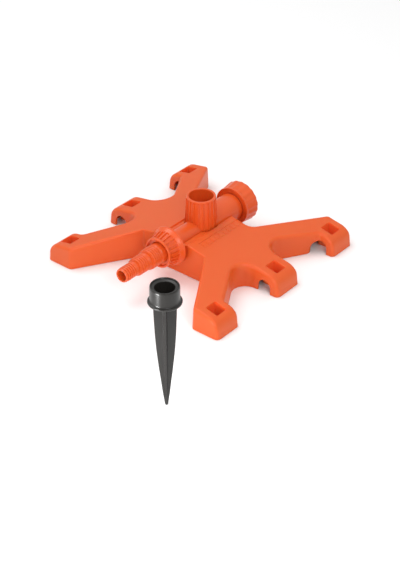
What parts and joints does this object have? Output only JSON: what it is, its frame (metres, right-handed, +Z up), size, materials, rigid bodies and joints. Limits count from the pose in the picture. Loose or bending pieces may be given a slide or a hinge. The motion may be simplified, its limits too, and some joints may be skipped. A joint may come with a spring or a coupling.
{
  "type": "lawn sprinkler base",
  "caption": "Six-legged sled base for a lawn sprinkler, with a feed tee, head socket, barbed hose tail on a screwed nut, screwed end cap and loose ground spike.",
  "frame": {"origin": "on the hub axis at ground level, at the mouth of the spike socket under the hub", "axes": "+Z up along the hub axis, Y along the feed pipe with the hose tail at -Y and the end cap at +Y, X across the pipe towards the right-hand legs"},
  "size_m": [0.2483, 0.3183, 0.12],
  "materials": {
    "sled": "satin orange moulding",
    "fittings": "semi-gloss orange moulding",
    "seals": "matt black",
    "spike": "glossy dark grey moulding"
  },
  "bodies": {
    "base": {"base_shell": "sled", "feed_tee": "fittings"},
    "tail": {"hose_tail": "fittings", "inlet_washer": "seals"},
    "nut": {"inlet_nut": "fittings"},
    "cap_seal": {"cap_washer": "seals"},
    "cap": {"end_cap": "fittings"},
    "spike": {"ground_spike": "spike"}
  },
  "joints": [
    {"name": "inlet_tail_draw", "type": "slide", "parent": "base", "child": "tail", "axis": [0, -1, 0], "range_m": [0, 0.0109]},
    {"name": "inlet_nut_turn", "type": "hinge", "parent": "tail", "child": "nut", "pos_m": [0, -0.055, 0.0298], "axis": [0, -1, 0], "range_deg": [0, 2160]},
    {"name": "cap_seal_draw", "type": "slide", "parent": "base", "child": "cap_seal", "axis": [0, 1, 0], "range_m": [0, 0.0109]},
    {"name": "end_cap_turn", "type": "hinge", "parent": "cap_seal", "child": "cap", "pos_m": [0, 0.0547, 0.0298], "axis": [0, 1, 0], "range_deg": [0, 2160]},
    {"name": "spike_lift", "type": "slide", "parent": "base", "child": "spike", "axis": [0, 0, 1], "range_m": [0, 0.13]}
  ],
  "couplings": [
    {"joint": "inlet_tail_draw", "follows": "inlet_nut_turn", "m_per_rad": 0.00028871},
    {"joint": "cap_seal_draw", "follows": "end_cap_turn", "m_per_rad": 0.00028871}
  ]
}
